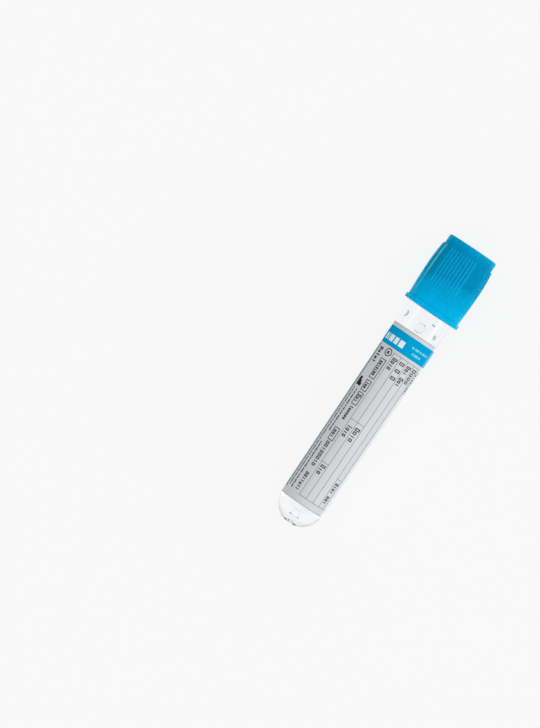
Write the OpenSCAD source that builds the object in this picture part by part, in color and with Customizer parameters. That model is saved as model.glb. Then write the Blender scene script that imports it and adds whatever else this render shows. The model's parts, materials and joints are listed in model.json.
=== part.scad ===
// Blood collection tube, 13 x 75 mm, closed with its cap and lying on a level surface.
// Each piece is drawn upright round its own axis: the closed tip is at height 0 and the cap is on top.
// lie() then lays it down. It rests on the cap's lower rim and on the round end, so the axis slopes a little.

/* [Tube] */
// Length of the tube, from the tip to the mouth
tube_length = 75; // [60:0.5:100]
// Outside diameter at the mouth
mouth_d = 13; // [11:0.1:16]
// How much narrower the tube is at its round end
taper = 0.7; // [0.2:0.1:1.2]
// Wall thickness
tube_wall = 1; // [0.8:0.05:1.4]
// Diameter of the flat on the tip
tip_d = 3.5; // [2.5:0.1:4.5]
// Width of the land round the gate's recess in the tip
gate_land = 0.25; // [0.1:0.05:0.5]
// Depth of the gate's recess
gate_depth = 1.7; // [0.5:0.1:2.2]
// Edge round of the recess's roof
gate_round = 0.5; // [0.2:0.05:0.8]
// Thickness of the base over the gate's recess
base_t = 0.9; // [0.8:0.05:1.5]
// How far the straight seat in the mouth goes on below the plug
seat_extra = 4; // [1:0.5:8]
// Chamfer on both edges of the mouth
lip_chamfer = 0.3; // [0.1:0.05:0.35]

/* [Stopper] */
// Depth of the plug in the mouth
plug_depth = 8; // [6:0.5:12]
// Height of the head above the mouth
head_h = 8.7; // [7:0.1:12]
// How far the head stays inside the tube's outside
head_inset = 0.2; // [0.05:0.05:0.3]
// Depth of the needle well in the top
well_depth = 4.6; // [3:0.1:5.5]
// Diameter of the needle well at its top
well_d = 7.4; // [6:0.1:7.8]
// Diameter of the needle well at its floor
well_floor_d = 6; // [5:0.1:6]
// Depth of the hollow under the plug
hollow_depth = 6.5; // [4:0.1:7.5]
// Diameter of the hollow under the plug
hollow_d = 6.6; // [5:0.1:7.5]
// Length of the plug's tapered end
plug_lead = 1; // [0.5:0.1:2]
// How much the plug narrows at its end, on the radius
plug_nose = 0.5; // [0.2:0.1:1]

/* [Cap shield] */
// Thickness of the top, round the needle port
top_wall = 1.8; // [1.2:0.1:2.4]
// How far the skirt reaches down over the tube
cap_overlap = 9.5; // [7:0.5:14]
// Diameter of the needle port in the top
port_d = 8; // [7:0.1:9]
// Chamfer round the needle port
port_chamfer = 0.5; // [0.2:0.1:0.8]
// Height of the plain ring at the top
ring_h = 2.6; // [2:0.1:3.5]
// Wall of the plain ring
ring_wall = 0.8; // [0.6:0.05:1]
// Edge round of the plain ring
ring_round = 0.5; // [0.2:0.05:0.6]
// Skirt wall in the middle of a ribbed face, at its widest
face_wall = 0.9; // [0.7:0.01:1]
// Skirt wall at a smooth corner, at its widest
corner_wall = 1.13; // [0.9:0.01:1.3]
// Radius of a ribbed face, seen from above
face_bow = 9.5; // [9:0.1:12]
// Distance of the widest level from the top
widest_level = 9; // [7:0.5:10]
// How much narrower the barrel is at its upper end, on the radius
upper_drop = 0.45; // [0.2:0.05:0.6]
// How much narrower the barrel is at its lower end, on the radius
lower_drop = 0.12; // [0.12:0.01:0.4]
// Edge round of the barrel's shoulder
shoulder_round = 0.3; // [0.1:0.05:0.4]
// Wall of the rim at the skirt's lower end
rim_wall = 1.25; // [1.2:0.05:1.6]
// Height of the rim
rim_h = 1.2; // [0.8:0.1:2]
// Edge round of the rim
rim_round = 0.25; // [0.1:0.05:0.4]
// Radius of the bead that holds the stopper
bead_r = 0.5; // [0.3:0.05:0.6]
// Height of the bead above the mouth
bead_level = 4.8; // [2:0.1:6]

/* [Grip ribs] */
// Ribs on each of the four faces
rib_count = 9; // [5:1:9]
// Distance from rib to rib
rib_pitch = 0.94; // [0.8:0.01:1]
// Width of a rib
rib_w = 0.5; // [0.3:0.05:0.6]
// Height of a rib above its face
rib_h = 0.14; // [0.1:0.01:0.3]
// Distance of the ribs' upper ends from the shoulder
rib_start = 0.2; // [0.1:0.05:0.5]
// Where the ribs fade out, above the skirt's lower end
rib_end = 2.6; // [2:0.1:5]

/* [Label] */
// Bare length between the tip and the label
bare_end = 5.7; // [4:0.1:12]
// Clear length between the label and the cap
clear_zone = 6.8; // [6:0.1:15]
// Thickness of the label
label_t = 0.1; // [0.05:0.01:0.15]
// Width of the gap between the label's long edges, as an angle
label_gap = 35; // [20:1:90]

/* [Additive] */
// Depth of the pool at the round end
pool_depth = 1.4; // [1:0.05:2.5]
// Length of the pool, up to its blunt end
pool_length = 45; // [30:1:50]

/* [Fits] */
// Running clearance of the plug in the mouth, on the radius
plug_fit = 0.05; // [0.01:0.01:0.1]
// Clearance of the skirt round the tube, on the radius
skirt_gap = 0.35; // [0.3:0.05:0.5]
// Clearance of the stopper's head and groove in the shield, on the radius
head_fit = 0.03; // [0.01:0.01:0.1]
// Gap between the mouth and the step in the shield above it
mouth_gap = 0.4; // [0.2:0.05:0.6]
// Gap under the label's film
film_gap = 0.01; // [0.01:0.01:0.03]
// Gap between the additive and the tube's wall
wet_gap = 0.02; // [0.01:0.01:0.05]

/* [Hidden] */
$fn = 96;
LONG_ARC = 1440;
EDGE_ARC = 32;
DROP_ARC = 180;
faces = 4;
// How far a cut goes past the surface, and how far joined shapes run into each other
overcut = 1;
sink = 0.4;

// Drops on the inside wall: [angle from straight up, distance below the skirt, radius on the wall]
drops = [[-63, 3.4, 1.25], [35, 1.7, 0.85], [7, 4.8, 1.45], [56, 4.9, 0.7]];
drop_contact_deg = 60;

// Tube
mouth_r = mouth_d / 2;
end_r = mouth_r - taper / 2;
seat_r = mouth_r - tube_wall;
cavity_r = end_r - tube_wall;
seat_depth = plug_depth + seat_extra;
dome_z = sqrt(end_r ^ 2 - (tip_d / 2) ^ 2);
floor_z = gate_depth + base_t;
cavity_z = floor_z + cavity_r;
taper_l = tube_length - dome_z;
gate_r = tip_d / 2 - gate_land;

// Cap, with heights measured up from the tip
skirt_z = tube_length - cap_overlap;
head_top_z = tube_length + head_h;
top_z = head_top_z + top_wall;
ring_z = top_z - ring_h;
widest_z = top_z - widest_level;
rim_top_z = skirt_z + rim_h;
rib_end_z = skirt_z + rib_end;
bead_z = tube_length + bead_level;
step_z = tube_length + mouth_gap;

skirt_r = mouth_r + skirt_gap;
head_r = mouth_r - head_inset;
head_seat_r = head_r + head_fit;
ring_r = head_seat_r + ring_wall;
face_r = skirt_r + face_wall;
corner_r = skirt_r + corner_wall;
rim_r = skirt_r + rim_wall;
rim_step = rim_r - face_r;
face_shift = face_bow - face_r;
port_r = port_d / 2;

upper_r = arc_r(ring_z - widest_z, upper_drop);
lower_r = arc_r(widest_z - rim_top_z, lower_drop);
rib_fade = rib_h + arc_drop(lower_r, widest_z - rib_end_z);
rib_lower_r = arc_r(widest_z - rib_end_z, rib_fade);
rib_step_deg = rib_pitch / face_bow * 180 / PI;
rib_deg = rib_w / face_bow * 180 / PI;

// Resting slope: the level line that touches the round end and the rim's lower edge
rim_dx = skirt_z + rim_round - dome_z;
rim_dy = rim_r - rim_round;
slope = acos((end_r - rim_round) / norm([rim_dx, rim_dy])) - atan2(rim_dx, rim_dy);
low_x = -tip_d / 2 * sin(slope);
high_x = (top_z - ring_round) * cos(slope) + (ring_r - ring_round) * sin(slope) + ring_round;
tip_x = (low_x - high_x) / 2;
pool_level = tube_wall + pool_depth;

// Radius of an arc that falls back by drop over length, from a start square to it
function arc_r(length, drop) = (length ^ 2 + drop ^ 2) / (2 * drop);
// How far an arc of this radius falls back over length
function arc_drop(radius, length) = radius - sqrt(radius ^ 2 - length ^ 2);

// Lays an upright piece down, with the cap towards +X and the middle of its length over the origin
module lie() {
    translate([-(low_x + high_x) / 2, 0, end_r - dome_z * sin(slope)])
        rotate([0, 90 - slope, 0]) children();
}

// Keeps the half of an outline from which a solid is turned
module half(height = top_z + overcut) {
    intersection() {
        children();
        translate([0, -overcut]) square([face_bow * 2, height + overcut]);
    }
}

// A rectangle from one radius and height to another
module band(r0, r1, z0, z1) {
    translate([r0, z0]) square([r1 - r0, z1 - z0]);
}

// Outside of the tube, as an outline
module tube_outline() {
    half() intersection() {
        translate([0, dome_z]) circle(r = end_r);
        band(0, end_r, 0, dome_z);
    }
    polygon([[0, dome_z], [end_r, dome_z], [mouth_r, tube_length - lip_chamfer],
        [mouth_r - lip_chamfer, tube_length], [0, tube_length]]);
}

// Inside of the tube, as an outline that stays a margin away from the wall
module cavity_outline(margin = 0, top = tube_length) {
    half() intersection() {
        translate([0, cavity_z]) circle(r = cavity_r - margin);
        band(0, end_r, 0, cavity_z);
    }
    polygon([[0, cavity_z], [cavity_r - margin, cavity_z],
        [seat_r - margin, tube_length - seat_depth], [seat_r - margin, top], [0, top]]);
}

// Recess in the tip for the moulding gate, with a rounded roof
module gate_outline() {
    roof_z = gate_depth - gate_round;
    band(0, gate_r, -overcut, roof_z);
    band(0, gate_r - gate_round, 0, gate_depth);
    translate([gate_r - gate_round, roof_z]) circle(r = gate_round, $fn = EDGE_ARC);
}

module mouth_chamfer_outline() {
    polygon([[0, tube_length - lip_chamfer], [seat_r, tube_length - lip_chamfer],
        [seat_r + lip_chamfer + overcut, tube_length + overcut], [0, tube_length + overcut]]);
}

// Clear moulded tube: one piece with a round closed end
module tube() {
    color([0.88, 0.93, 0.97, 0.45]) lie() difference() {
        rotate_extrude() tube_outline();
        rotate_extrude() cavity_outline(top = tube_length + overcut);
        rotate_extrude() mouth_chamfer_outline();
        rotate_extrude() gate_outline();
    }
}

// Film that wraps the tube but for a gap along its underside
module label() {
    z0 = bare_end;
    z1 = skirt_z - clear_zone;
    lean = taper / 2 / taper_l;
    r0 = end_r + film_gap + lean * (z0 - dome_z);
    r1 = end_r + film_gap + lean * (z1 - dome_z);
    color([0.82, 0.84, 0.85]) lie()
        rotate_extrude(start = label_gap / 2, angle = 360 - label_gap)
            polygon([[r0, z0], [r0 + label_t, z0], [r1 + label_t, z1], [r1, z1]]);
}

// Side of a bulging wall as an outline: two long arcs that meet at the widest level
module bulge_outline(r, above_r, below_r, low_z, high_z) {
    half() intersection() {
        translate([r - above_r, widest_z]) circle(r = above_r, $fn = LONG_ARC);
        band(0, r, widest_z, high_z);
    }
    half() intersection() {
        translate([r - below_r, widest_z]) circle(r = below_r, $fn = LONG_ARC);
        band(0, r, low_z, widest_z);
    }
}

// Side of the barrel as an outline
module barrel_outline(r) {
    difference() {
        bulge_outline(r, upper_r, lower_r, rim_top_z - sink, ring_z);
        shoulder_cut(r - upper_drop);
    }
}

// What the shoulder's edge round takes away from a barrel that ends at radius r
module shoulder_cut(r) {
    difference() {
        band(r - shoulder_round, r + overcut, ring_z - shoulder_round, ring_z + overcut);
        translate([r - shoulder_round, ring_z - shoulder_round]) circle(r = shoulder_round, $fn = EDGE_ARC);
    }
}

// Barrel of the skirt: a round one for the corners, cut by four flatter faces
module barrel() {
    intersection() {
        rotate_extrude() barrel_outline(corner_r);
        for_faces_intersection() rotate_extrude() barrel_outline(face_r + face_shift);
    }
}

// Rim round the skirt's lower end, with the barrel's plan set outwards
module rim() {
    intersection() {
        rotate_extrude() rim_outline(corner_r + rim_step);
        for_faces_intersection() rotate_extrude() rim_outline(rim_r + face_shift);
    }
}

module for_faces_intersection() {
    intersection_for(i = [0:faces - 1])
        rotate([0, 0, i * 360 / faces]) translate([-face_shift, 0, 0]) children();
}

// Side of a rib as an outline: it follows the face's two arcs and sinks into the face at its lower end
module rib_outline() {
    difference() {
        bulge_outline(face_bow + rib_h, upper_r + rib_h, rib_lower_r, rib_end_z - sink, ring_z - rib_start);
        band(0, face_bow - upper_drop - sink, 0, top_z);
    }
}

// Thin slice of a ring round the axis that its face is bowed about
module rib() {
    rotate_extrude(start = -rib_deg / 2, angle = rib_deg, $fn = LONG_ARC) rib_outline();
}

module ribs() {
    for (i = [0:faces - 1], k = [0:rib_count - 1])
        rotate([0, 0, i * 360 / faces]) translate([-face_shift, 0, 0])
            rotate([0, 0, (k - (rib_count - 1) / 2) * rib_step_deg]) rib();
}

// Plain ring at the top, with a rounded edge
module ring_outline() {
    band(0, ring_r - ring_round, ring_z, top_z);
    band(0, ring_r, ring_z - sink, top_z - ring_round);
    translate([ring_r - ring_round, top_z - ring_round]) circle(r = ring_round, $fn = EDGE_ARC);
}

// Rim at the skirt's lower end, with both edges rounded
module rim_outline(r) {
    band(0, r - rim_round, skirt_z, rim_top_z);
    band(0, r, skirt_z + rim_round, rim_top_z - rim_round);
    for (z = [skirt_z + rim_round, rim_top_z - rim_round])
        translate([r - rim_round, z]) circle(r = rim_round, $fn = EDGE_ARC);
}

// What is cut out of the shield: the skirt's bore, the stopper's seat, and the port in the top
module shield_cut_outline() {
    difference() {
        union() {
            band(0, skirt_r, skirt_z - overcut, step_z);
            band(0, head_seat_r, step_z - overcut, head_top_z);
        }
        translate([head_seat_r, bead_z]) circle(r = bead_r, $fn = EDGE_ARC);
    }
    band(0, port_r, head_top_z - overcut, top_z + overcut);
    polygon([[0, top_z - port_chamfer], [port_r, top_z - port_chamfer],
        [port_r + port_chamfer + overcut, top_z + overcut], [0, top_z + overcut]]);
}

// Translucent outer cap, with four ribbed faces for the grip
module cap_shield() {
    color([0.02, 0.61, 0.78, 0.9]) lie() difference() {
        union() {
            barrel();
            rim();
            rotate_extrude() ring_outline();
            ribs();
        }
        rotate_extrude() shield_cut_outline();
    }
}

// Outside of the stopper: the head in the shield, the groove for its bead, and the plug in the mouth
module stopper_outline() {
    plug_r = seat_r - plug_fit;
    difference() {
        band(0, head_r, tube_length, head_top_z);
        translate([head_seat_r, bead_z]) circle(r = bead_r + head_fit, $fn = EDGE_ARC);
    }
    polygon([[0, tube_length - plug_depth], [plug_r - plug_nose, tube_length - plug_depth],
        [plug_r, tube_length - plug_depth + plug_lead], [plug_r, tube_length], [0, tube_length]]);
}

// Needle well in the top, and the hollow with a domed roof under the plug
module stopper_cut_outline() {
    polygon([[0, head_top_z - well_depth], [well_floor_d / 2, head_top_z - well_depth],
        [well_d / 2, head_top_z], [well_d / 2, head_top_z + overcut], [0, head_top_z + overcut]]);
    hollow_r = hollow_d / 2;
    roof_z = tube_length - plug_depth + hollow_depth - hollow_r;
    band(0, hollow_r, tube_length - plug_depth - overcut, roof_z);
    half() intersection() {
        translate([0, roof_z]) circle(r = hollow_r);
        band(0, hollow_r, roof_z, roof_z + hollow_r + overcut);
    }
}

// Rubber stopper that the needle goes through
module stopper() {
    color([0.2, 0.22, 0.24]) lie() rotate_extrude() difference() {
        stopper_outline();
        stopper_cut_outline();
    }
}

// Pool of liquid additive along the underside, with its surface level
module additive() {
    color([0.9, 0.95, 1, 0.4]) intersection() {
        lie() rotate_extrude() cavity_outline(wet_gap, tube_length - plug_depth - overcut);
        translate([tip_x, -mouth_r, 0]) cube([floor_z + pool_length, mouth_d, pool_level]);
    }
}

// One drop on the inside wall: part of a sphere that meets the wall at the contact angle
module drop(angle, below_skirt, foot_r) {
    sphere_r = foot_r / sin(drop_contact_deg);
    sink = foot_r / tan(drop_contact_deg);
    z = skirt_z - below_skirt;
    wall_r = cavity_r + (seat_r - cavity_r) * (z - cavity_z) / (tube_length - seat_depth - cavity_z);
    rotate([0, 0, 180 + angle]) translate([wall_r + sink, 0, z]) sphere(r = sphere_r, $fn = DROP_ARC);
}

// Drops of additive that cling above the label
module additive_drops() {
    color([0.85, 0.93, 1, 0.5]) lie() intersection() {
        rotate_extrude() cavity_outline(wet_gap, tube_length - plug_depth - overcut);
        for (d = drops) drop(d[0], d[1], d[2]);
    }
}

tube();
label();
cap_shield();
stopper();
additive();
additive_drops();
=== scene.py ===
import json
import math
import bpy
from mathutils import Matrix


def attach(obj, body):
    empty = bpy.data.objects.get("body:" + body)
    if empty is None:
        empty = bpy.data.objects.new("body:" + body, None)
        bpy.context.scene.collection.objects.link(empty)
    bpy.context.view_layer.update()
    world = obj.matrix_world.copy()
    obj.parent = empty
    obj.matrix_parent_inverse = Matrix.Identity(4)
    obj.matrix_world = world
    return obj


bl_info = {
    "name": "Blood Collection Tube",
    "version": (1, 0, 0),
    "blender": (4, 5, 0),
    "location": "View3D > Sidebar > Blood Tube",
    "description": "Gives a capped blood collection tube its materials, printed label, liquid and studio",
    "category": "Object",
}

import bpy
from bpy.props import FloatProperty, IntProperty, PointerProperty, StringProperty
from mathutils import Matrix, Vector

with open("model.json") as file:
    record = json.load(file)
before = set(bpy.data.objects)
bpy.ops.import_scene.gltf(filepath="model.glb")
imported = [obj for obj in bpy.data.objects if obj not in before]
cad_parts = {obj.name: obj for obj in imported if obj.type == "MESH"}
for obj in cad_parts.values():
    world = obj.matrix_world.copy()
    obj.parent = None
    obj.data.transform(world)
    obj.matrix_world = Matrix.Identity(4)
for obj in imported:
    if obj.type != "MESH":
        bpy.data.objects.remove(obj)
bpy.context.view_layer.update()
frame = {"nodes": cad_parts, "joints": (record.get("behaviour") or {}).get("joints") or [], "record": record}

MM = 0.001
PORT = next(m for m in frame["record"]["mounts"] if m["name"] == "needle_port")

# The tube's own axes: along it from the tip to the cap, up from it, and to the right with the cap ahead
AXIS = Vector(frame["joints"][0]["axis"]).normalized()
UP = Vector((-AXIS.z, 0, AXIS.x))
RIGHT = AXIS.cross(UP)


def reach_along(node):
    """Nearest and farthest place of a CAD node along the tube's axis."""
    places = [v.co.dot(AXIS) for v in frame["nodes"][node].data.vertices]
    return min(places), max(places)


PORT_POINT = Vector(PORT["pos_m"])
TIP = PORT_POINT + AXIS * (reach_along("tube")[0] - PORT_POINT.dot(AXIS))
TIP_PLACE = TIP.dot(AXIS)
CAP_TOP = reach_along("cap_shield")[1] - TIP_PLACE
LABEL_BOTTOM, LABEL_TOP = (place - TIP_PLACE for place in reach_along("label"))
LABEL_LENGTH_MM = (LABEL_TOP - LABEL_BOTTOM) / MM
# Takes a piece that is made upright, with X up and Y to the right, to where the tube lies
LAY = Matrix.Translation(TIP) @ Matrix((UP, RIGHT, AXIS)).transposed().to_4x4()


def radius_at(node, height):
    """Radius of a CAD node's outside at a ring of its vertices, given the ring's height above the tip."""
    near = 0.05 * MM
    spots = [v.co - TIP for v in frame["nodes"][node].data.vertices]
    return max((s - AXIS * s.dot(AXIS)).length for s in spots if abs(s.dot(AXIS) - height) <= near)


LABEL_TOP_R = radius_at("label", LABEL_TOP)
LABEL_BOTTOM_R = radius_at("label", LABEL_BOTTOM)


# ---------------------------------------------------------------- materials


def linear(code):
    """Linear RGBA of an sRGB hex colour."""
    channels = [int(code[i : i + 2], 16) / 255 for i in (1, 3, 5)]
    return [c / 12.92 if c <= 0.04045 else ((c + 0.055) / 1.055) ** 2.4 for c in channels] + [1.0]


def add_node(owner, kind, inputs=(), **settings):
    """Adds a node to a material or the world, with its settings.

    The inputs come in order or by name, and each is a value, another node's output, or a node.
    """
    tree = owner.node_tree
    node = tree.nodes.new("ShaderNode" + kind)
    for key, value in settings.items():
        setattr(node, key, value)
    keyed = inputs if isinstance(inputs, dict) else dict(enumerate(inputs))
    for key, value in keyed.items():
        if isinstance(value, bpy.types.Node):
            value = next(output for output in value.outputs if output.enabled)
        if isinstance(value, bpy.types.NodeSocket):
            tree.links.new(value, node.inputs[key])
        else:
            node.inputs[key].default_value = value
    return node


def new_material(name):
    """An empty node material."""
    material = bpy.data.materials.new(name)
    material.use_nodes = True
    material.node_tree.nodes.clear()
    return material


def set_material(obj, material):
    """Makes this the object's only material."""
    obj.data.materials.clear()
    obj.data.materials.append(material)


def place_on_tube(material, size=(1, 1, 1)):
    """Where a point is on the tube, in mm over size: X up, Y to the right, Z along the axis from the tip."""
    inputs = {
        "Vector": add_node(material, "TexCoord").outputs["Object"],
        "Location": TIP,
        "Rotation": LAY.to_euler(),
        "Scale": Vector(size) * MM,
    }
    return add_node(material, "Mapping", inputs, vector_type="TEXTURE")


def grains(material, size, detail):
    """A pattern of soft grains of this size in mm."""
    inputs = {"Vector": place_on_tube(material, size), "Scale": 1.0, "Detail": detail}
    return add_node(material, "TexNoise", inputs)


# Nearly all of a pattern of grains lies between these levels
GRAIN_LEVELS = (0.3, 0.7)


def shaded(material, colour, pattern, spread):
    """The colour made lighter and darker by a pattern."""
    level = add_node(material, "MapRange", (pattern, *GRAIN_LEVELS, 1 - spread, 1 + spread))
    return add_node(material, "VectorMath", {0: colour, "Scale": level}, operation="SCALE")


def any_ray(owner, *kinds):
    """1 for rays of these kinds, 0 for others."""
    path = add_node(owner, "LightPath")
    found = path.outputs[kinds[0]]
    for kind in kinds[1:]:
        found = add_node(owner, "Math", (found, path.outputs[kind]), operation="MAXIMUM")
    return found


# Light that has bent more often than this is caught between the walls
MOST_BENDS = 4.5


def clear_material(name, colour, edge_colour, edge_span, ior, wave, dark_side, side_span):
    """Something clear and smooth that lets the lamps through.

    It has painted shade where it is seen along its surface, over the edge's span, and most on its dark side.
    """
    material = new_material(name)
    facing = add_node(material, "LayerWeight", {"Blend": 0.5}).outputs["Facing"]
    edge = add_node(material, "MapRange", (facing, *edge_span), interpolation_type="SMOOTHSTEP")
    surface = add_node(material, "NewGeometry").outputs
    side = add_node(material, "VectorMath", (surface["Normal"], dark_side), operation="DOT_PRODUCT")
    # The side is that of the surface's own outside, also where it is seen from within
    outwards = add_node(material, "Math", (surface["Backfacing"], -2.0, 1.0), operation="MULTIPLY_ADD")
    side = add_node(material, "Math", (side, outwards), operation="MULTIPLY")
    side = add_node(material, "MapRange", (side, *side_span), interpolation_type="SMOOTHSTEP")
    edge = add_node(material, "Math", (edge, side), operation="MULTIPLY")
    painted_edge_shade = add_node(material, "Mix", {0: edge, 6: linear(colour), 7: linear(edge_colour)}, data_type="RGBA")
    # The waves that a plastic's flow leaves are long along the tube and 1.6 mm across
    waves = grains(material, (1.6, 1.6, 9), 1.0)
    bump = add_node(material, "Bump", {"Height": waves, "Strength": wave, "Distance": 0.02 * MM})
    inputs = {"Base Color": painted_edge_shade, "Roughness": 0.02, "IOR": ior, "Transmission Weight": 1.0, "Normal": bump}
    glass = add_node(material, "BsdfPrincipled", inputs)
    through = add_node(material, "BsdfTransparent", {"Color": linear(colour)})
    # Light that is caught is let out, so that it doesn't end as a black spot
    depth = add_node(material, "LightPath").outputs["Ray Depth"]
    caught = add_node(material, "Math", (depth, MOST_BENDS), operation="GREATER_THAN")
    lamps = any_ray(material, "Is Shadow Ray", "Is Diffuse Ray")
    lamps = add_node(material, "Math", (lamps, caught), operation="MAXIMUM")
    both = add_node(material, "MixShader", (lamps, glass, through))
    add_node(material, "OutputMaterial", {"Surface": both})
    return material


def moulded_pet(name, colours):
    """Injection-moulded PET: clear and polished, with faint flow waves, and a painted grey shade outlining
    its end.
    """
    dark_side = 0.2 * RIGHT - 0.98 * AXIS
    return clear_material(
        name,
        colours.tube,
        colours.tube_edge,
        edge_span=(0.5, 1.0),
        ior=1.45,
        wave=0.25,
        dark_side=dark_side,
        side_span=(-0.05, 0.6, 0.25, 1.0),
    )


def citrate_solution(name, colour, edge_colour, ior):
    """A clear watery solution: its drops show by painted shade on their edges, and most on those towards the
    tip.
    """
    dark_side = 0.6 * RIGHT - 0.8 * AXIS
    return clear_material(
        name,
        colour,
        edge_colour,
        edge_span=(0.18, 0.55),
        ior=ior,
        wave=0.0,
        dark_side=dark_side,
        side_span=(-0.1, 0.35, 0.1, 1.0),
    )


def finish_with(material, colour, grain, depth, roughness, gloss, **more):
    """Ends an opaque material with its colour, its grain's bumps, whose depth is in mm, and its gloss."""
    bump = add_node(material, "Bump", {"Height": grain, "Strength": 0.3, "Distance": depth * MM})
    inputs = {"Base Color": colour, "Roughness": roughness, "Specular IOR Level": gloss, "Normal": bump}
    surface = add_node(material, "BsdfPrincipled", inputs | more)
    add_node(material, "OutputMaterial", {"Surface": surface})


# Painted sheen: film is painted pale where it is seen along and faces the light on the right: each from none
# to full
GLANCE = (0.5, 0.85)
FACES_LIGHT = (0.3, 0.7)


def printed_film(name, colour, roughness, mottle, gloss, pale=0.85):
    """Polypropylene film, or ink on it: smooth, finely spotted, and with a painted sheen, pale where it
    glances to the light.
    """
    material = new_material(name)
    # Print's spots are about 0.1 mm across, and are drawn at 0.4 mm so that they show
    grain = grains(material, (0.4, 0.4, 0.4), 2.0)
    # The painted sheen: pale where the film is seen along and faces the lamp on the right
    facing = add_node(material, "LayerWeight", {"Blend": 0.5}).outputs["Facing"]
    normal = add_node(material, "NewGeometry").outputs["Normal"]
    side = add_node(material, "VectorMath", (normal, RIGHT), operation="DOT_PRODUCT")
    painted_sheen = add_node(material, "MapRange", (facing, *GLANCE, 0.0, pale), interpolation_type="SMOOTHSTEP")
    lit = add_node(material, "MapRange", (side, *FACES_LIGHT), interpolation_type="SMOOTHSTEP")
    painted_sheen = add_node(material, "Math", (painted_sheen, lit), operation="MULTIPLY")
    base = add_node(material, "Mix", {0: painted_sheen, 6: linear(colour), 7: linear("#FFFFFF")}, data_type="RGBA")
    finish_with(material, shaded(material, base, grain, mottle), grain, 0.005, roughness, gloss)
    return material


# The part of each rib's wave that is crest, from none to full
CREST = (-0.3, 0.9)


def rib_crests(material, axes, quarter, ribs):
    """1 along the crests of the ribs, 0 between them and beside them."""
    squares = [add_node(material, "Math", (axes[key], 2.0), operation="POWER") for key in "XY"]
    out = add_node(material, "Math", squares, operation="ADD")
    out = add_node(material, "Math", (out,), operation="SQRT")
    sine = add_node(material, "Math", (quarter,), operation="SINE")
    across = add_node(material, "Math", (out, sine), operation="MULTIPLY")
    cosine = add_node(material, "Math", (quarter,), operation="COSINE")
    up = add_node(material, "Math", (out, cosine), operation="MULTIPLY")
    # The ribs stand side by side round the face's own axis, which lies beyond the tube's
    up = add_node(material, "Math", (up, (ribs.bow - ribs.face) / MM), operation="ADD")
    turn = add_node(material, "Math", (across, up), operation="ARCTAN2")
    number = add_node(material, "Math", (turn, ribs.bow / ribs.pitch), operation="MULTIPLY")
    wave = add_node(material, "Math", (number, 2 * math.pi), operation="MULTIPLY")
    wave = add_node(material, "Math", (wave,), operation="COSINE")
    crest = add_node(material, "MapRange", (wave, *CREST), interpolation_type="SMOOTHSTEP")
    number = add_node(material, "Math", (number,), operation="ABSOLUTE")
    inside = add_node(material, "Math", (number, ribs.count / 2), operation="LESS_THAN")
    return add_node(material, "Math", (crest, inside), operation="MULTIPLY")


# How the cap's blue changes with painted light and shade: each row holds where a change starts, where it
# ends, and its share at each.
# Places are in mm below the cap's top, and turns in radians from straight up or from a face's middle.
# The painted light and shade that follow the rubber's head read as this much further down for each mm to the
# right
SLANT = 0.12
# Painted light: the blue is lighter where light comes in behind the wall from below the rubber's head, and
# through the thick top edge
LIGHT_BELOW_HEAD = (9.5, 12.5, 0.0, 0.55)
LIGHT_IN_SKIRT = (12.0, 20.0, 0.0, 0.45)
LIGHT_IN_TOP_EDGE = (2.0, 0.3, 0.0, 0.3)
# The painted highlight on the crests shows from under the ring, and fades towards the rim
CRESTS_START = (2.5, 3.0, 0.0, 1.0)
CRESTS_FADE = (17.5, 10.5, 0.0, 1.0)
CREST_HIGHLIGHT_SHARE = 0.6
# A painted highlight: a lighter line down one corner
HIGHLIGHT_LINE_TURN = math.radians(-50.3)
HIGHLIGHT_LINE_WIDTH = (math.radians(4.0), math.radians(0.6), 0.0, 0.88)
HIGHLIGHT_LINE_FADE = (14.0, 10.0, 0.3, 1.0)
HIGHLIGHT_LINE_START = (2.6, 3.2, 0.0, 1.0)
# Painted shade: the smooth corners, with no ribs to scatter the light, are deeper than the faces, and deepest
# around the highlight line
CORNERS = (math.radians(29), math.radians(35), 1.0, 0.84)
RING_LEVEL = (3.0, 2.6, 0.0, 0.95)
SKIRT_LEVEL = (9.5, 13.5, 0.0, 0.95)
BESIDE_HIGHLIGHT_LINE = (math.radians(15), math.radians(11), 1.0, 0.92)
# Painted shade from side to side, lighter on the left: the share that the cap's blue loses for each mm to the
# right
SIDE_TO_SIDE_SHADE = -0.01


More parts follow.
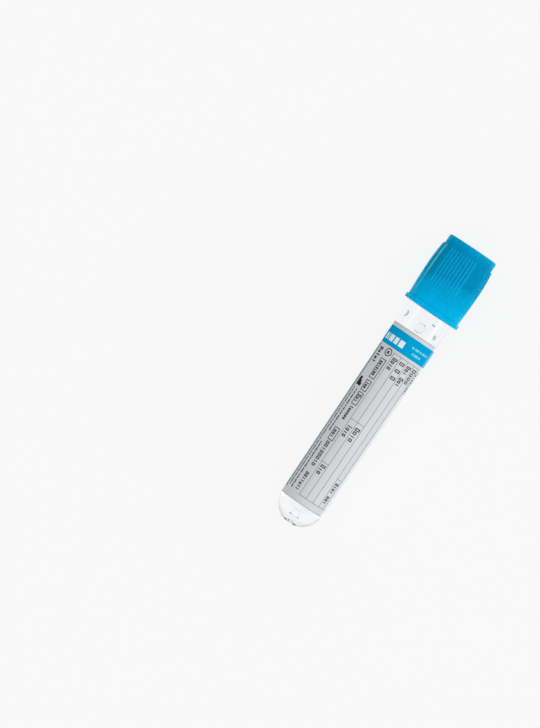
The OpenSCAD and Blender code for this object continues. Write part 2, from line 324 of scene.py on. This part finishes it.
def moulded_polyethylene(name, colours, ribs):
    """Translucent moulded polyethylene: deeper over the dark rubber, painted lighter where light comes in,
    and on the ribs' crests.
    """
    material = new_material(name)
    axes = add_node(material, "SeparateXYZ", (place_on_tube(material),)).outputs
    below = add_node(material, "Math", (CAP_TOP / MM, axes["Z"]), operation="SUBTRACT")
    slant = add_node(material, "Math", (axes["Y"], SLANT, below), operation="MULTIPLY_ADD")
    # Painted light through the wall, below the rubber's head, in the skirt and at the top edge
    near = add_node(material, "MapRange", (slant, *LIGHT_BELOW_HEAD), interpolation_type="SMOOTHSTEP")
    far = add_node(material, "MapRange", (slant, *LIGHT_IN_SKIRT), interpolation_type="SMOOTHSTEP")
    top = add_node(material, "MapRange", (below, *LIGHT_IN_TOP_EDGE), interpolation_type="SMOOTHSTEP")
    lit = add_node(material, "Math", (near, far), operation="ADD")
    lit = add_node(material, "Math", (lit, top), operation="ADD")
    blues = {0: lit, 6: linear(colours.cap_deep), 7: linear(colours.cap)}
    base = add_node(material, "Mix", blues, data_type="RGBA")

    # Painted highlight on the ribs' crests
    start = add_node(material, "MapRange", (below, *CRESTS_START), interpolation_type="SMOOTHSTEP")
    fade = add_node(material, "MapRange", (slant, *CRESTS_FADE), interpolation_type="SMOOTHSTEP")
    ends = add_node(material, "Math", (start, fade), operation="MULTIPLY")
    turn = add_node(material, "Math", (axes["Y"], axes["X"]), operation="ARCTAN2")
    quarter = add_node(material, "Math", (turn, math.pi / 4, -math.pi / 4), operation="WRAP")
    crests = rib_crests(material, axes, quarter, ribs)
    crests = add_node(material, "Math", (crests, ends), operation="MULTIPLY")
    crests = add_node(material, "Math", (crests, CREST_HIGHLIGHT_SHARE), operation="MULTIPLY")
    base = add_node(material, "Mix", {0: crests, 6: base, 7: linear(colours.cap_crest_highlight)}, data_type="RGBA")

    # Painted highlight line down one corner
    off = add_node(material, "Math", (turn, HIGHLIGHT_LINE_TURN), operation="SUBTRACT")
    off = add_node(material, "Math", (off,), operation="ABSOLUTE")
    highlight_line = add_node(material, "MapRange", (off, *HIGHLIGHT_LINE_WIDTH), interpolation_type="SMOOTHSTEP")
    for span in (HIGHLIGHT_LINE_FADE, HIGHLIGHT_LINE_START):
        part = add_node(material, "MapRange", (below, *span), interpolation_type="SMOOTHSTEP")
        highlight_line = add_node(material, "Math", (highlight_line, part), operation="MULTIPLY")
    base = add_node(material, "Mix", {0: highlight_line, 6: base, 7: linear(colours.cap_highlight_line)}, data_type="RGBA")

    # Painted shade: deeper on the corners and around the highlight line
    level = add_node(material, "Math", (quarter,), operation="ABSOLUTE")
    level = add_node(material, "MapRange", (level, *CORNERS), interpolation_type="SMOOTHSTEP")
    for place, span in ((below, RING_LEVEL), (slant, SKIRT_LEVEL)):
        part = add_node(material, "MapRange", (place, *span), interpolation_type="SMOOTHSTEP")
        level = add_node(material, "Math", (level, part), operation="MAXIMUM")
    beside = add_node(material, "MapRange", (off, *BESIDE_HIGHLIGHT_LINE), interpolation_type="SMOOTHSTEP")
    level = add_node(material, "Math", (level, beside), operation="MULTIPLY")
    # Painted shade across the cap, a little deeper for each mm to the right
    side_shade = add_node(material, "Math", (axes["Y"], SIDE_TO_SIDE_SHADE, 1.0), operation="MULTIPLY_ADD")
    level = add_node(material, "Math", (level, side_shade), operation="MULTIPLY")
    base = add_node(material, "VectorMath", {0: base, "Scale": level}, operation="SCALE")

    # Pigment spreads in faint clouds a few mm long. The mould's satin grain is about 0.05 mm, and is drawn
    # at 0.25 mm so that it shows
    clouds = grains(material, (2.5, 2.5, 5), 2.0)
    grain = grains(material, (0.25, 0.25, 0.25), 1.0)
    # Light goes about half a millimetre into the plastic, and red light least
    inside = {"Subsurface Weight": 0.8, "Subsurface Radius": (0.3, 0.8, 1.0), "Subsurface Scale": 0.5 * MM}
    base = shaded(material, base, clouds, 0.04)
    finish_with(material, base, grain, 0.01, roughness=0.36, gloss=0.015, **inside)
    return material


def bromobutyl_rubber(name, colour):
    """Moulded bromobutyl rubber: dull and dark, with a fine dusty bloom."""
    material = new_material(name)
    # The bloom's specks are under 0.1 mm, and are drawn in patches of 0.6 mm so that they show
    bloom = grains(material, (0.6, 0.6, 0.6), 3.0)
    base = shaded(material, linear(colour)[:3], bloom, 0.2)
    finish_with(material, base, bloom, 0.02, roughness=0.75, gloss=0.3)
    return material


# The rays by which the pale background is seen: straight, in gloss and through what is clear
SEEN_BY = ("Is Camera Ray", "Is Glossy Ray", "Is Transmission Ray")


def pale_card(name, colours, glow):
    """Matt pale card: an even floor that keeps a soft shadow, though most of its look is its own light."""
    material = new_material(name)
    lit = add_node(material, "BsdfDiffuse", {"Color": linear(colours.floor)})
    own = add_node(material, "Emission", {"Color": linear(colours.floor_glow)})
    seen = any_ray(material, *SEEN_BY)
    share = add_node(material, "Math", (seen, glow), operation="MULTIPLY")
    both = add_node(material, "MixShader", (share, lit, own))
    add_node(material, "OutputMaterial", {"Surface": both})
    return material


# ---------------------------------------------------------------- print on the label

# A mark is a plain patch of ink: its left and right sides as angles in degrees from straight up, and its
# top and foot in mm from the label's top. The label's own long edges are 162.5 degrees from straight up,
# and the print stops just short of them and of the label's ends.
LONG_EDGE = 162.3
INSET = 0.02
SHADED_EDGE = 0.16

# Undersides and tops of ink on the film, of ink on ink, and of the film's shaded edges, in mm off the film
INK = (0.004, 0.02)
INK_ON_INK = (0.02, 0.03)
EDGE_FILM = (0.02, 0.025)
# Most degrees that a mark turns between two of its cross sections
MARK_STEP = 2.5

# Rows of blocks in the banner: widths in mm, left side, top, height, gap
BANNER_BLOCKS = (((0.9, 0.4, 1.5, 1.2, 1.5), -63, 3.2, 1.85, 0.42),)
BANNER_WORDS = (
    ((0.7, 1.3, 0.5, 1.1, 0.7), 18, 3.05, 0.5, 0.3),
    ((0.4, 1.2, 0.6), 26, 4.45, 0.6, 0.3),
)
# The stripe at the label's side, the gap above it, and the gap between the table and the lower margin
STRIPE_SIDES = (-100, -66.5)
STRIPE_GAP = 0.4
MARGIN_GAP = 0.1
# Rules across the table: the first and last of the lines that each joins, and its top
CROSS_RULES = ((0, 2, 27.2), (0, 1, 40.5), (3, 4, 42.3))
# Words in the table: the line that each stands on, its top, length and pattern. Then the height and line
# of their shapes, and the share of a row between a line and its words
TABLE_WORDS = (
    (0, 8.1, 3.6, "Bbib"),
    (0, 28.9, 3.6, "Ibib"),
    (0, 41.3, 2.9, "Bib"),
    (1, 8.0, 5.4, "B B B"),
    (1, 28.5, 4.3, "Bbib"),
    (2, 7.9, 6.2, "Bbi Bbi"),
    (3, 7.8, 4.7, "Bbbb"),
    (3, 43.4, 6.4, "Bibi bbi"),
    (4, 7.8, 7.2, "Ibibbibbi"),
)
TABLE_WORD_HEIGHT = 1.4
TABLE_WORD_LINE = 0.25
TABLE_WORD_RISE = 0.2
# Boxes beside the table: their sides, their tops and feet, and their line
SIDE_BOX = (-31.0, -14.8)
SIDE_BOX_SPANS = ((9.8, 15.8), (16.5, 19.7), (20.2, 24.0), (31.2, 35.0))
SIDE_BOX_LINE = 0.2
# Words in line with the boxes: top, length and pattern. Then their shapes' height, line and inset
SIDE_WORDS = (
    (10.5, 4.6, "bbibibb"),
    (17.1, 2.0, "Ibb"),
    (20.9, 2.4, "Bbi"),
    (24.5, 4.3, "Ibbbbb"),
    (31.9, 2.4, "bbi"),
    (35.4, 7.7, "BBIBBBIB"),
    (45.0, 5.6, "BBIIbII"),
)
SIDE_WORD_HEIGHT = 1.1
SIDE_WORD_LINE = 0.24
SIDE_WORD_INSET = 0.35
# The plain ring above the boxes: its middle's distance from the top, its radius and its line
RING = (7.75, 1.1, 0.25)
# The dot in it: how far it goes to the left and to the right, its top and its foot
RING_DOT = (0.35, 0.3, 7.4, 8.2)
# A stepped black block, and the word above it: pattern, left side, height, top, length and line
BLACK_STEPS = ((-56, -46, 16.6, 18.2), (-46, -42, 17.5, 18.2), (-56, -38, 18.2, 19.1))
BLACK_WORD = ("BbIbI", -54, 1.4, 7.4, 4.8, 0.32)
# Fine print: a thin line at the label's left, and rows of bars with their left side, top and foot
FINE_RULE = (-63.5, -62, 6.6, 51)
FINE_ROWS = ((-54.5, 19.9, 50.2), (-42.5, 20.1, 33.0), (-42.5, 36.5, 50.6))
FINE_LENGTHS = (0.5, 0.85, 1.2, 1.55)
FINE_WIDTH = 0.42
FINE_GAP = 0.22
# Share of a tall shape's height that a short one has, and of its step that a boxed shape fills
SHORT = 0.72
BOXED = 0.78
# Strips that a ring is made of
RING_STRIPS = 16


def arc(width_mm):
    """The angle that a width takes round the label, in degrees."""
    return math.degrees(width_mm * MM / LABEL_TOP_R)


def box_marks(left, right, top, foot, line):
    """The four lines of an outlined box."""
    turn = arc(line)
    return [
        (left, right, top, top + line),
        (left, right, foot - line, foot),
        (left, left + turn, top + line, foot - line),
        (right - turn, right, top + line, foot - line),
    ]


def ring_marks(middle, down, radius, line):
    """A plain ring, made of narrow strips across the label."""
    width = 2 * radius / RING_STRIPS
    marks = []
    for i in range(RING_STRIPS):
        x = (i + 0.5) * width - radius
        outer = math.sqrt(radius**2 - x**2)
        inner = math.sqrt(max((radius - line) ** 2 - x**2, 0))
        sides = (middle + arc(x - width / 2), middle + arc(x + width / 2))
        if inner:
            marks.append((*sides, down - outer, down - inner))
            marks.append((*sides, down + inner, down + outer))
        else:
            marks.append((*sides, down - outer, down + outer))
    return marks


def word_marks(pattern, left, height, top, length, line):
    """A word in plain shapes that runs down the label.

    B and b are a tall and a short box, I and i are a tall and a short bar, and a space is a gap.
    """
    step = length / len(pattern)
    marks = []
    for i, shape in enumerate(pattern):
        if shape == " ":
            continue
        right = left + arc(height if shape.isupper() else height * SHORT)
        start = top + i * step
        if shape in "Bb":
            marks += box_marks(left, right, start, start + step * BOXED, line)
        else:
            middle = start + step * BOXED / 2
            marks.append((left, right, middle - line / 2, middle + line / 2))
    return marks


def block_marks(rows):
    """Rows of plain solid blocks across the label."""
    marks = []
    for widths, left, top, height, gap in rows:
        for width in widths:
            marks.append((left, left + arc(width), top, top + height))
            left += arc(width + gap)
    return marks


def fine_marks(left, top, foot):
    """A row of print too small to read: bars of a few lengths that follow each other down the label."""
    marks = []
    while top < foot:
        length = FINE_LENGTHS[len(marks) % len(FINE_LENGTHS)]
        marks.append((left, left + arc(FINE_WIDTH), top, min(top + length, foot)))
        top += length + FINE_GAP
    return marks


def printed(name, marks, material, lift_mm=INK):
    """Builds marks as one piece of thin closed patches round the label."""
    bpy.ops.object.select_all(action="DESELECT")
    bpy.ops.object.add(type="MESH")
    obj = bpy.context.object
    obj.name = obj.data.name = name
    spans = {}
    for left, right, top, foot in marks:
        spans.setdefault((round(left, 3), round(right, 3)), []).append((top, foot))
    low, high = (lift * MM for lift in lift_mm)
    bpy.ops.object.mode_set(mode="EDIT")
    for (left, right), parts in spans.items():
        for top, foot in parts:
            place = (LABEL_TOP_R + (low + high) / 2, 0, LABEL_TOP - (top + foot) / 2 * MM)
            upright = (math.pi / 2, 0, 0)
            bpy.ops.mesh.primitive_plane_add(size=1, calc_uvs=False, location=place, rotation=upright)
            bpy.ops.transform.resize(value=(high - low, 1, (foot - top) * MM), center_override=place)
        bpy.ops.mesh.select_all(action="SELECT")
        # Both operators turn the opposite way to the angles, which grow from straight up to the right
        start, turn = math.radians(left), math.radians(right - left)
        bpy.ops.transform.rotate(value=-start, orient_axis="Z", center_override=(0, 0, 0))
        steps = math.ceil((right - left) / MARK_STEP)
        bpy.ops.mesh.spin(steps=steps, angle=-turn, center=(0, 0, 0), axis=(0, 0, 1))
        bpy.ops.mesh.select_all(action="SELECT")
        bpy.ops.mesh.hide(unselected=False)
    bpy.ops.mesh.reveal(select=True)
    bpy.ops.mesh.normals_make_consistent(inside=False)
    bpy.ops.object.mode_set(mode="OBJECT")
    # The tube is a slight cone, so the print narrows with it towards the label's foot
    for v in obj.data.vertices:
        share = (LABEL_TOP - v.co.z) / (LABEL_TOP - LABEL_BOTTOM)
        narrow = 1 - share * (LABEL_TOP_R - LABEL_BOTTOM_R) / LABEL_TOP_R
        v.co.x *= narrow
        v.co.y *= narrow
    obj.data.transform(LAY)
    set_material(obj, material)
    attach(obj, "tube_body")


# ---------------------------------------------------------------- settings


class BloodTubeColours(bpy.types.PropertyGroup):
    """Colours of the finishes, as sRGB hex"""

    tube: StringProperty(name="Tube", description="The tube's clear plastic", default="#FDFEFF")
    # Painted shade where the tube's walls are seen along
    tube_edge: StringProperty(
        name="Tube outline", description="Grey of the tube's walls seen along", default="#929CA2"
    )
    liquid: StringProperty(name="Liquid", description="The additive and its drops", default="#FAFEFF")
    # Painted shade on the drops' edges
    drop_edge: StringProperty(
        name="Drop outline", description="Deep green-grey of the drops' edges", default="#1F5658"
    )
    # The cap is painted from the deeper blue over the stopper to this blue where light comes in behind the
    # wall
    cap: StringProperty(name="Cap", description="Blue of the cap's plastic", default="#00BDEE")
    cap_deep: StringProperty(
        name="Cap over rubber", description="Blue of the cap over the stopper", default="#009BCB"
    )
    # The ribs' crests are lighter as a painted highlight
    cap_crest_highlight: StringProperty(name="Rib crests", description="Blue of the ribs' crests", default="#16AFDD")
    # The cap's lighter line down one corner is a painted highlight
    cap_highlight_line: StringProperty(
        name="Painted highlight line", description="Blue of the painted highlight line down one corner", default="#70EAFF"
    )
    stopper: StringProperty(name="Stopper", description="Grey of the stopper's rubber", default="#2A2E31")
    film: StringProperty(name="Label film", description="Grey-white of the label", default="#D1D4D7")
    margin: StringProperty(name="Margin", description="Grey of the label's unprinted ends", default="#D0D2D3")
    film_edge: StringProperty(name="Film edge", description="Grey of the film's ends", default="#96999A")
    banner: StringProperty(name="Banner ink", description="Blue of the label's banner", default="#00A3D5")
    white: StringProperty(name="White ink", description="White of the banner's blocks", default="#EAF4F8")
    pale: StringProperty(name="Pale ink", description="Pale blue of the banner's words", default="#8CCDE6")
    stripe: StringProperty(name="Stripe ink", description="Blue of the side stripe", default="#4FA9B8")
    rules: StringProperty(name="Rule ink", description="Grey of the table's lines", default="#9599A0")
    text: StringProperty(name="Text ink", description="Grey of the words and boxes", default="#3A3C40")
    fine: StringProperty(name="Fine ink", description="Grey of the fine print", default="#4A4D52")
    black: StringProperty(name="Black ink", description="Black of the heaviest mark", default="#101214")
    floor: StringProperty(name="Floor", description="The floor's card under the lamps", default="#F8F8F8")
    floor_glow: StringProperty(
        name="Floor's own light", description="The floor's card, as it glows by itself", default="#FAFAFA"
    )


class BloodTubeRibs(bpy.types.PropertyGroup):
    """Sizes of the cap's ribbed faces"""

    count: IntProperty(name="Ribs", description="Ribs on each face", default=9, min=1)
    pitch: FloatProperty(
        name="Rib pitch", description="Distance from rib to rib", default=0.94 * MM, unit="LENGTH"
    )
    bow: FloatProperty(
        name="Face bow", description="Radius of a face, seen from above", default=9.5 * MM, unit="LENGTH"
    )
    face: FloatProperty(
        name="Face distance",
        description="From the tube's axis to the middle of a face",
        default=7.75 * MM,
        unit="LENGTH",
    )


class BloodTubePrint(bpy.types.PropertyGroup):
    """Places of the banner and the table, down from the label's top and round from straight up"""

    banner_top: FloatProperty(
        name="Banner top", description="Where the banner starts", default=1.1 * MM, unit="LENGTH"
    )
    banner_end: FloatProperty(
        name="Banner end", description="Where the banner ends", default=6.2 * MM, unit="LENGTH"
    )
    table_top: FloatProperty(
        name="Table top", description="Where the table starts", default=7.0 * MM, unit="LENGTH"
    )
    table_end: FloatProperty(
        name="Table end", description="Where the table ends", default=51.1 * MM, unit="LENGTH"
    )
    first_line: FloatProperty(
        name="First line",
        description="Angle of the table's first line from straight up",
        default=math.radians(-9.2),
        unit="ROTATION",
    )
    row: FloatProperty(
        name="Row", description="Angle from line to line", default=math.radians(19.2), unit="ROTATION"
    )
    rows: IntProperty(name="Rows", description="Rows in the table", default=5, min=1)
    line: FloatProperty(name="Line", description="Width of a ruled line", default=0.16 * MM, unit="LENGTH")


class BloodTubeStage(bpy.types.PropertyGroup):
    """Floor, light and camera"""

    floor: FloatProperty(name="Floor", description="Length of the floor's sides", default=6.0, unit="LENGTH")
    glow: FloatProperty(
        name="Floor glow",
        description="Share of the floor's look that takes no shadow",
        default=0.9,
        subtype="FACTOR",
    )
    ambient: FloatProperty(name="Ambient", description="Strength of the light from all round", default=1.02)
    left_side: FloatProperty(
        name="Left side",
        description="Share of that light that the left side gives",
        default=0.4,
        subtype="FACTOR",
    )
    key: FloatProperty(name="Key", description="Strength of the soft lamp on the right", default=0.42)
    key_size: FloatProperty(
        name="Key size",
        description="How wide that lamp looks from the tube",
        default=math.radians(50),
        unit="ROTATION",
    )
    distance: FloatProperty(
        name="Camera distance", description="From the camera to the tube", default=1.4, unit="LENGTH"
    )
    view_height: FloatProperty(
        name="View height", description="Length that fills the view's height", default=0.18885, unit="LENGTH"
    )
    lean: FloatProperty(
        name="Lean",
        description="How far the tube leans in the view",
        default=math.radians(34.0),
        unit="ROTATION",
    )
    roll: FloatProperty(
        name="Roll",
        description="How far the camera stands to the tube's right of straight above",
        default=math.radians(9.1),
        unit="ROTATION",
    )
    tilt: FloatProperty(
        name="Tilt",
        description="How far the camera stands towards the cap of straight above",
        default=math.radians(0.9),
        unit="ROTATION",
    )
    to_right: FloatProperty(
        name="To the right",
        description="How far right of the view's middle the tube's middle lies",
        default=28.9 * MM,
        unit="LENGTH",
    )
    down: FloatProperty(
        name="Down",
        description="How far below the view's middle the tube's middle lies",
        default=5.6 * MM,
        unit="LENGTH",
    )


# ---------------------------------------------------------------- operators


class BLOODTUBE_OT_tube(bpy.types.Operator):
    """Give the tube its clear plastic"""

    bl_idname = "blood_tube.finish_tube"
    bl_label = "Clear tube"

    def execute(self, context):
        set_material(frame["nodes"]["tube"], moulded_pet("Moulded PET", context.scene.blood_tube_colours))
        return {"FINISHED"}


class BLOODTUBE_OT_cap(bpy.types.Operator):
    """Give the cap its translucent blue plastic and the stopper its rubber"""

    bl_idname = "blood_tube.finish_cap"
    bl_label = "Cap and stopper"

    def execute(self, context):
        colours, ribs = context.scene.blood_tube_colours, context.scene.blood_tube_ribs
        plastic = moulded_polyethylene("Moulded polyethylene", colours, ribs)
        set_material(frame["nodes"]["cap_shield"], plastic)
        set_material(frame["nodes"]["stopper"], bromobutyl_rubber("Bromobutyl rubber", colours.stopper))
        return {"FINISHED"}


class BLOODTUBE_OT_label(bpy.types.Operator):
    """Give the label its film, and print the banner, the margins and the side stripe"""

    bl_idname = "blood_tube.print_banner"
    bl_label = "Label and banner"

    def execute(self, context):
        colours, places = context.scene.blood_tube_colours, context.scene.blood_tube_print
        top, end, table_end = places.banner_top / MM, places.banner_end / MM, places.table_end / MM
        sides = (-LONG_EDGE, LONG_EDGE)
        foot = LABEL_LENGTH_MM

        film = printed_film("Polypropylene film", colours.film, roughness=0.4, mottle=0.02, gloss=0.5)
        set_material(frame["nodes"]["label"], film)

        ink = printed_film("Banner ink", colours.banner, roughness=0.45, mottle=0.03, gloss=0.0, pale=0.3)
        printed("label_banner", [(*sides, top, end)], ink)

        ink = printed_film("Bare film", colours.margin, roughness=0.35, mottle=0.03, gloss=0.5)
        margins = [(*sides, INSET, top), (*sides, table_end + MARGIN_GAP, foot - INSET)]
        printed("label_margins", margins, ink)

        ink = printed_film("Shaded film edge", colours.film_edge, roughness=0.5, mottle=0.03, gloss=0.1)
        edges = [(*sides, INSET, SHADED_EDGE), (*sides, foot - SHADED_EDGE, foot - INSET)]
        printed("label_edges", edges, ink, EDGE_FILM)

        ink = printed_film("White ink", colours.white, roughness=0.5, mottle=0.02, gloss=0.1)
        printed("label_banner_blocks", block_marks(BANNER_BLOCKS), ink, INK_ON_INK)

        ink = printed_film("Pale ink", colours.pale, roughness=0.5, mottle=0.02, gloss=0.1)
        printed("label_banner_words", block_marks(BANNER_WORDS), ink, INK_ON_INK)

        ink = printed_film("Stripe ink", colours.stripe, roughness=0.45, mottle=0.03, gloss=0.1)
        printed("label_stripe", [(*STRIPE_SIDES, end + STRIPE_GAP, table_end)], ink)
        return {"FINISHED"}


class BLOODTUBE_OT_table(bpy.types.Operator):
    """Print the ruled table with its words"""

    bl_idname = "blood_tube.print_table"
    bl_label = "Ruled table"

    def execute(self, context):
        colours, places = context.scene.blood_tube_colours, context.scene.blood_tube_print
        first, row = math.degrees(places.first_line), math.degrees(places.row)
        last = first + row * places.rows
        top, end, line = places.table_top / MM, places.table_end / MM, places.line / MM
        half = arc(line) / 2

        rules = [(first - half, last + half, top, top + line), (first - half, last + half, end - line, end)]
        for i in range(places.rows + 1):
            angle = first + row * i
            rules.append((angle - half, angle + half, top + line, end - line))
        for start, stop, down in CROSS_RULES:
            rules.append((first + row * start + half, first + row * stop - half, down, down + line))
        ink = printed_film("Rule ink", colours.rules, roughness=0.55, mottle=0.03, gloss=0.1)
        printed("label_rules", rules, ink)

        words = []
        for number, down, length, pattern in TABLE_WORDS:
            left = first + row * (number + TABLE_WORD_RISE)
            words += word_marks(pattern, left, TABLE_WORD_HEIGHT, down, length, TABLE_WORD_LINE)
        ink = printed_film("Text ink", colours.text, roughness=0.55, mottle=0.05, gloss=0.1)
        printed("label_words", words, ink)
        return {"FINISHED"}


class BLOODTUBE_OT_side(bpy.types.Operator):
    """Print the outlined boxes, words and small lines beside the table"""

    bl_idname = "blood_tube.print_side"
    bl_label = "Side print"

    def execute(self, context):
        colours = context.scene.blood_tube_colours
        left, right = SIDE_BOX
        marks = []
        for top, foot in SIDE_BOX_SPANS:
            marks += box_marks(left, right, top, foot, SIDE_BOX_LINE)
        start = left + arc(SIDE_WORD_INSET)
        for top, length, pattern in SIDE_WORDS:
            marks += word_marks(pattern, start, SIDE_WORD_HEIGHT, top, length, SIDE_WORD_LINE)
        middle = (left + right) / 2
        marks += ring_marks(middle, *RING)
        to_left, to_right, top, foot = RING_DOT
        marks.append((middle - arc(to_left), middle + arc(to_right), top, foot))
        ink = printed_film("Side ink", colours.text, roughness=0.55, mottle=0.05, gloss=0.1)
        printed("label_side_words", marks, ink)

        ink = printed_film("Black ink", colours.black, roughness=0.5, mottle=0.05, gloss=0.1)
        printed("label_black", [*BLACK_STEPS, *word_marks(*BLACK_WORD)], ink)

        fine = [FINE_RULE]
        for row in FINE_ROWS:
            fine += fine_marks(*row)
        ink = printed_film("Fine ink", colours.fine, roughness=0.55, mottle=0.05, gloss=0.1)
        printed("label_fine_print", fine, ink)
        return {"FINISHED"}


class BLOODTUBE_OT_liquid(bpy.types.Operator):
    """Give the additive and its drops their clear liquid"""

    bl_idname = "blood_tube.finish_liquid"
    bl_label = "Liquid"

    def execute(self, context):
        colours = context.scene.blood_tube_colours
        drops = citrate_solution("Drops of citrate solution", colours.liquid, colours.drop_edge, ior=1.22)
        set_material(frame["nodes"]["additive_drops"], drops)
        # The pool's index is that of the solution against the wall it wets, and not against air
        pool = citrate_solution("Citrate solution", colours.liquid, colours.liquid, ior=1.1)
        set_material(frame["nodes"]["additive"], pool)
        return {"FINISHED"}


class BLOODTUBE_OT_stage(bpy.types.Operator):
    """Set the floor, the light and the camera"""

    bl_idname = "blood_tube.set_stage"
    bl_label = "Stage"

    def execute(self, context):
        stage = context.scene.blood_tube_stage
        self.add_floor(context, stage)
        self.add_light(context, stage)
        self.add_camera(context, stage)
        context.scene.view_settings.view_transform = "Standard"
        return {"FINISHED"}

    def add_floor(self, context, stage):
        bpy.ops.object.select_all(action="DESELECT")
        bpy.ops.mesh.primitive_plane_add(size=stage.floor)
        floor = context.object
        floor.name = "floor"
        set_material(floor, pale_card("Pale card", context.scene.blood_tube_colours, stage.glow))

    def add_light(self, context, stage):
        world = bpy.data.worlds.new("Studio")
        context.scene.world = world
        world.use_nodes = True
        world.node_tree.nodes.clear()
        # The world's light is even, but weaker on the tube's left
        way = add_node(world, "TexCoord").outputs["Generated"]
        right = add_node(world, "VectorMath", (way, RIGHT), operation="DOT_PRODUCT")
        span = (-0.95, 0.05, stage.ambient * stage.left_side, stage.ambient)
        shade = add_node(world, "MapRange", (right, *span), interpolation_type="SMOOTHSTEP")
        strength = add_node(world, "Mix", {0: any_ray(world, *SEEN_BY), 2: shade, 3: 1.0})
        back = add_node(world, "Background", {"Color": (1, 1, 1, 1), "Strength": strength})
        add_node(world, "OutputWorld", {"Surface": back})

        bpy.ops.object.light_add(type="SUN")
        key = context.object
        key.name = "key"
        key.data.energy = stage.key
        key.data.angle = stage.key_size
        # The lamp stands on the right, a little towards the cap and a little above
        toward = (RIGHT + AXIS * 0.34 + UP * 0.15).normalized()
        key.rotation_euler = toward.to_track_quat("Z", "Y").to_euler()

    def add_camera(self, context, stage):
        side = RIGHT * math.cos(stage.roll) - UP * math.sin(stage.roll)
        over = UP * math.cos(stage.roll) + RIGHT * math.sin(stage.roll)
        outward = over * math.cos(stage.tilt) + AXIS * math.sin(stage.tilt)
        along = AXIS * math.cos(stage.tilt) - over * math.sin(stage.tilt)
        view_up = along * math.cos(stage.lean) - side * math.sin(stage.lean)
        view_right = along * math.sin(stage.lean) + side * math.cos(stage.lean)
        aim = TIP + AXIS * CAP_TOP / 2 - view_right * stage.to_right + view_up * stage.down
        turn = Matrix((view_right, view_up, outward)).transposed().to_4x4()
        bpy.ops.object.camera_add()
        camera = context.object
        camera.name = "camera"
        camera.matrix_world = Matrix.Translation(aim + outward * stage.distance) @ turn
        camera.data.sensor_width = 36
        camera.data.lens = camera.data.sensor_width * stage.distance / stage.view_height
        camera.data.clip_start = 0.05
        camera.data.clip_end = 20
        context.scene.camera = camera


STEPS = (
    BLOODTUBE_OT_stage,
    BLOODTUBE_OT_tube,
    BLOODTUBE_OT_cap,
    BLOODTUBE_OT_label,
    BLOODTUBE_OT_table,
    BLOODTUBE_OT_side,
    BLOODTUBE_OT_liquid,
)


class BLOODTUBE_PT_panel(bpy.types.Panel):
    """Lists the pieces and their settings"""

    bl_idname = "BLOODTUBE_PT_panel"
    bl_label = "Blood Tube"
    bl_space_type = "VIEW_3D"
    bl_region_type = "UI"
    bl_category = "Blood Tube"

    def draw(self, context):
        for step in STEPS:
            self.layout.operator(step.bl_idname)
        for group in (getattr(context.scene, name) for name in GROUPS):
            for name in group.__annotations__:
                self.layout.prop(group, name)


GROUPS = {
    "blood_tube_colours": BloodTubeColours,
    "blood_tube_ribs": BloodTubeRibs,
    "blood_tube_print": BloodTubePrint,
    "blood_tube_stage": BloodTubeStage,
}
CLASSES = (*GROUPS.values(), *STEPS, BLOODTUBE_PT_panel)


def register():
    for cls in CLASSES:
        bpy.utils.register_class(cls)
    for name, group in GROUPS.items():
        setattr(bpy.types.Scene, name, PointerProperty(type=group))


def unregister():
    for name in GROUPS:
        delattr(bpy.types.Scene, name)
    for cls in reversed(CLASSES):
        bpy.utils.unregister_class(cls)


def main():
    register()
    bpy.ops.blood_tube.set_stage()
    bpy.ops.blood_tube.finish_tube()
    bpy.ops.blood_tube.finish_cap()
    bpy.ops.blood_tube.print_banner()
    bpy.ops.blood_tube.print_table()
    bpy.ops.blood_tube.print_side()
    bpy.ops.blood_tube.finish_liquid()


if __name__ == "__main__":
    main()
